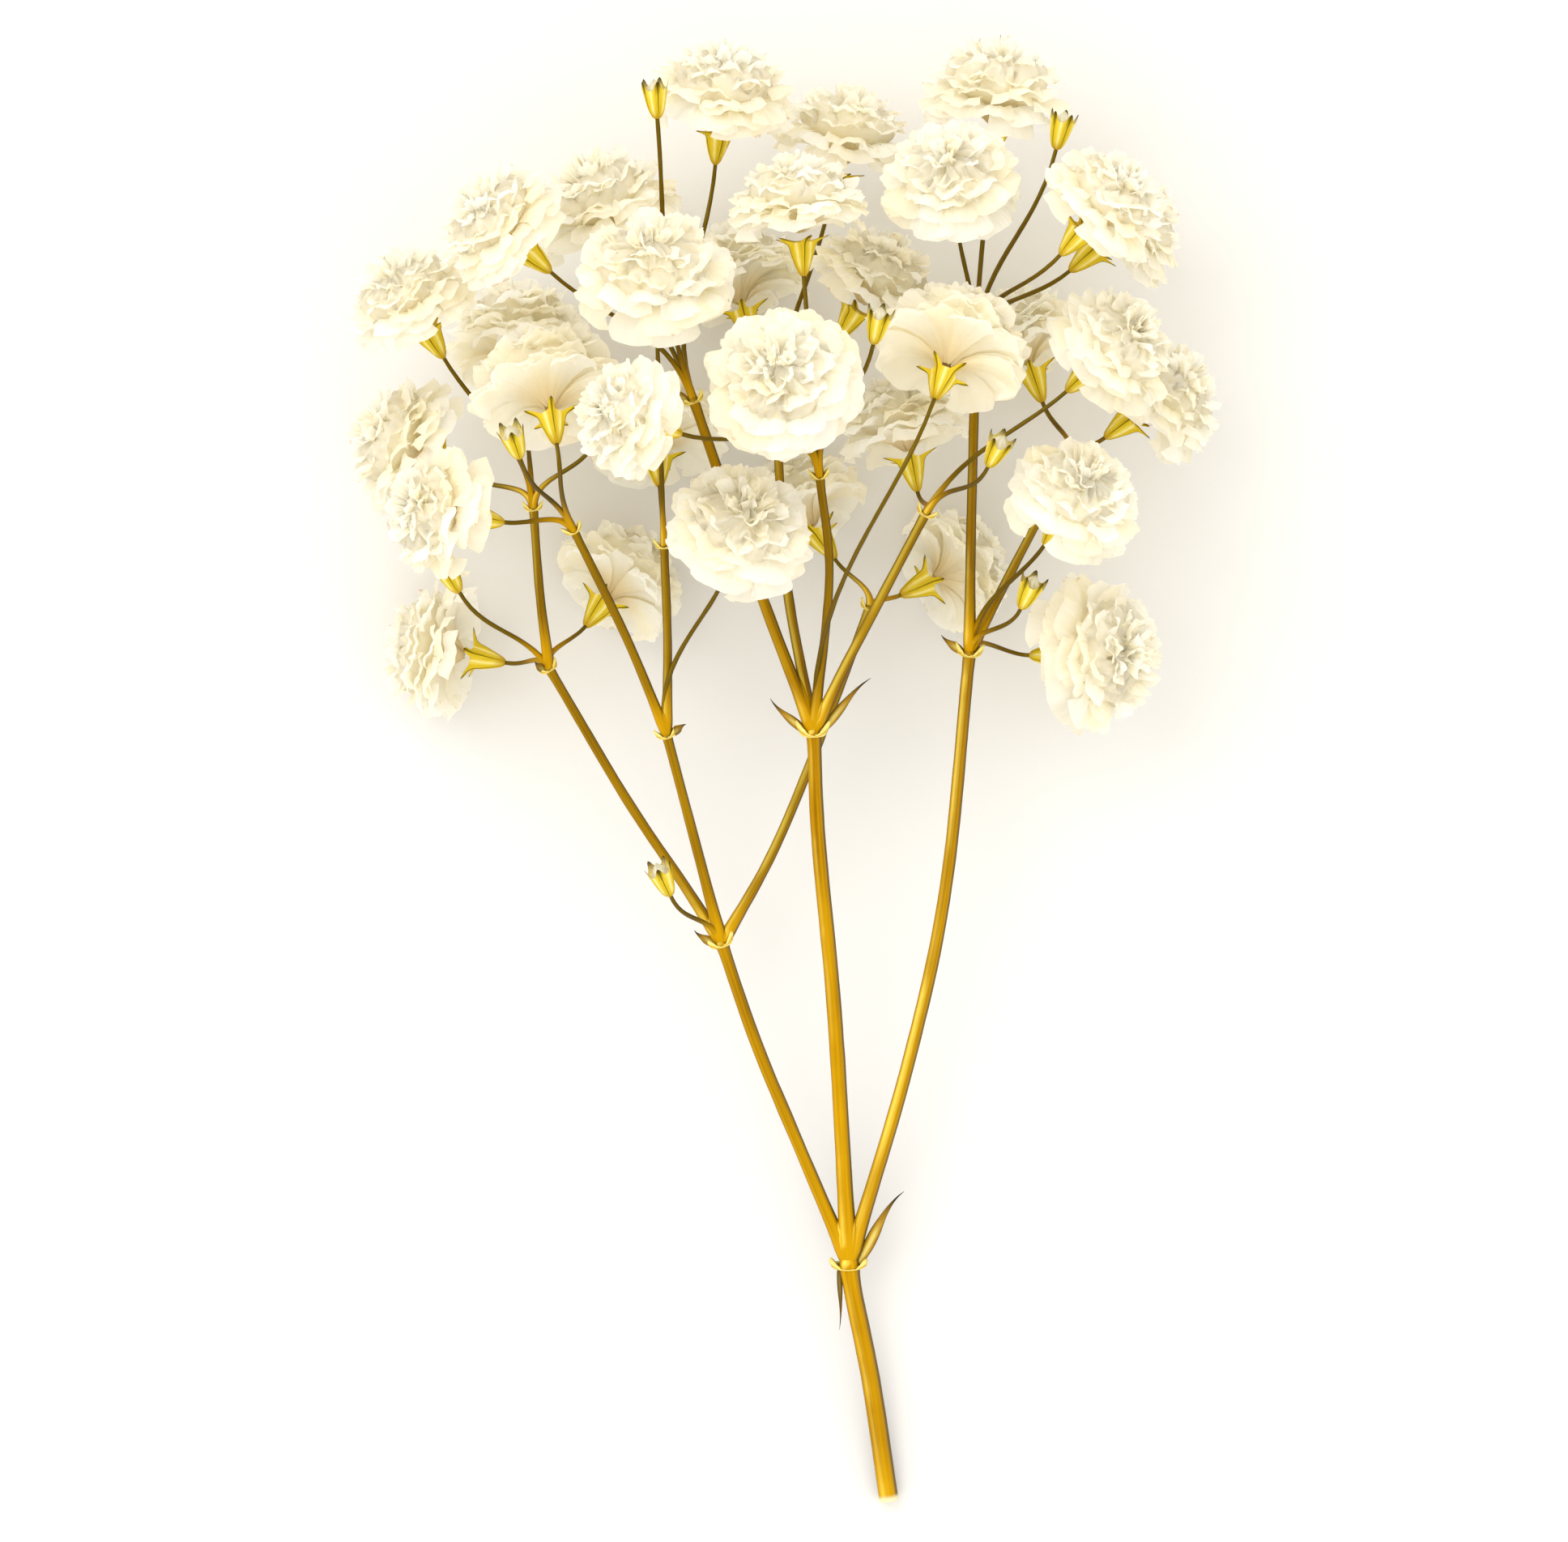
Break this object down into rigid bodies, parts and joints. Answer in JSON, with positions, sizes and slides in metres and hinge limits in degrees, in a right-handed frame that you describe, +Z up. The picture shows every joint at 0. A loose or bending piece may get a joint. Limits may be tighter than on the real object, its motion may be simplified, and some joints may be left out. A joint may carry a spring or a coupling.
{
  "type": "dried gypsophila sprig",
  "caption": "Cut sprig of dried double gypsophila lying on its side: a golden stem forks at swollen joints into fine twigs that carry cream ruffled blooms and small shut buds.",
  "frame": {"origin": "middle of the sprig's outline on the surface that it lies on", "axes": "+Y from the cut end to the flower head, +X to the right seen from above, +Z up"},
  "size_m": [0.0578, 0.0972, 0.0319],
  "materials": {
    "stem": "matte",
    "petal": "matte"
  },
  "bodies": {
    "root": {"stem": "stem", "bloom_01": "petal", "bloom_02": "petal", "bloom_03": "petal", "bloom_04": "petal", "bloom_05": "petal", "bloom_06": "petal", "bloom_07": "petal", "bloom_08": "petal", "bloom_09": "petal", "bloom_10": "petal", "bloom_11": "petal", "bloom_12": "petal", "bloom_13": "petal", "bloom_14": "petal", "bloom_15": "petal", "bloom_16": "petal", "bloom_17": "petal", "bloom_18": "petal", "bloom_19": "petal", "bloom_20": "petal", "bloom_21": "petal", "bloom_22": "petal", "bloom_23": "petal", "bloom_24": "petal", "bloom_25": "petal", "bloom_26": "petal", "bloom_27": "petal", "bloom_28": "petal", "bloom_29": "petal", "bloom_30": "petal", "bloom_31": "petal", "bloom_32": "petal"}
  },
  "joints": []
}
